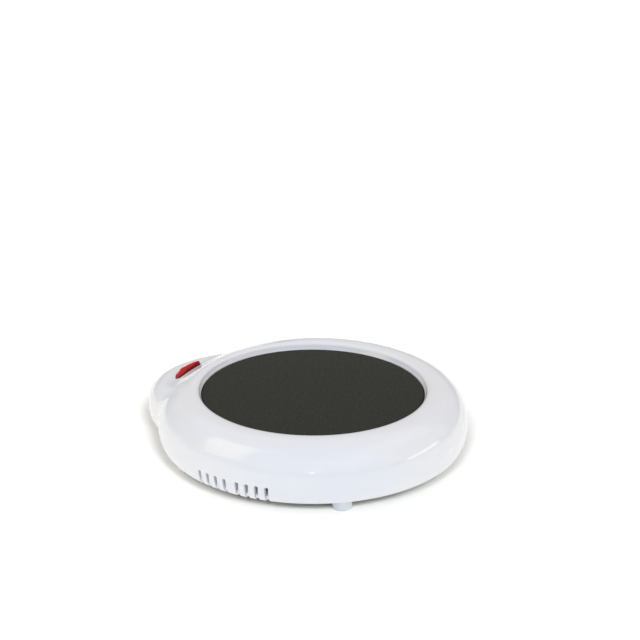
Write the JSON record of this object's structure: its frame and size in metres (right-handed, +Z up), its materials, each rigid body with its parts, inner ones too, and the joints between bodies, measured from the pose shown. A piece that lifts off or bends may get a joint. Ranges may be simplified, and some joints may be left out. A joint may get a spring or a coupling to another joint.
{
  "type": "electric mug warmer",
  "caption": "Electric mug warmer: round white body with a recessed heating plate, a lobe with a half-moon rocker switch and cord inlet, comb vents and four feet.",
  "frame": {"origin": "centre of the footprint of the whole object's box, on the table under the feet; the warming plate's axis is at y = -5.125 mm", "axes": "+Z up, +Y from the warming plate to the switch lobe and the cord inlet, +X to the right when seen from above with +Y up the page"},
  "size_m": [0.126, 0.136, 0.0275],
  "materials": {
    "shell_white": "glossy moulded ABS, cool white",
    "base_white": "fine spark-eroded moulded ABS, cool white",
    "plate_coating": "satin dark olive-black coating on stamped aluminium",
    "silicone": "matt silicone",
    "mica": "layered mica with embedded foil track",
    "brass": "stamped brass, slightly dulled",
    "ceramic_fibre": "felted fibre board",
    "zinc_steel": "zinc-plated steel",
    "spring_steel": "drawn spring wire",
    "foot_rubber": "smooth white rubber",
    "glass_sleeve": "braided glass sleeve",
    "frame_white": "moulded nylon",
    "rocker_red": "glossy translucent red polycarbonate",
    "lamp_glass": "clear glass bulb",
    "resistor_tan": "lacquered ceramic, plain",
    "lead_white": "silicone lead insulation",
    "lead_dark": "PVC lead insulation",
    "splice_nylon": "moulded nylon"
  },
  "bodies": {
    "root": {"top_shell": "shell_white", "base_cover": "base_white", "heater_plate": "plate_coating", "plate_gasket": "silicone", "mica_heater": "mica", "heater_tabs": "brass", "insulation_pad": "ceramic_fibre", "clamp_plate": "zinc_steel", "plate_studs": "zinc_steel", "stud_nuts": "zinc_steel", "clamp_screws": "zinc_steel", "base_screws": "zinc_steel", "rubber_feet": "foot_rubber", "thermal_cutoff": "brass", "cutoff_sleeve": "glass_sleeve", "cutoff_clip": "zinc_steel", "switch_frame": "frame_white", "switch_screws": "zinc_steel", "common_terminal": "brass", "load_terminal": "brass", "neon_lamp": "lamp_glass", "lamp_resistor": "resistor_tan", "cord_gland": "frame_white", "heater_leads": "lead_white", "supply_leads": "lead_dark", "splice_caps": "splice_nylon"},
    "rocker": {"rocker_cap": "rocker_red", "plunger_spring": "spring_steel"},
    "plunger": {"rocker_plunger": "frame_white"},
    "contact_arm": {"contact_arm": "brass"}
  },
  "joints": [
    {"name": "rocker_tilt", "type": "hinge", "parent": "root", "child": "rocker", "pos_m": [0, 0.05532, 0.0178], "axis": [0, 1, 0], "range_deg": [0, 10]},
    {"name": "plunger_slide", "type": "slide", "parent": "rocker", "child": "plunger", "axis": [-0.0872, 0, 0.9962], "range_m": [0, 0.0006], "stiffness_N_per_m": 400, "springref_m": -0.002, "deforming": ["plunger_spring"]},
    {"name": "contact_arm_tilt", "type": "hinge", "parent": "root", "child": "contact_arm", "pos_m": [0, 0.05532, 0.01115], "axis": [0, 1, 0], "range_deg": [-7.5, 0]}
  ],
  "couplings": [
    {"joint": "contact_arm_tilt", "follows": "rocker_tilt", "ratio": -0.75}
  ]
}
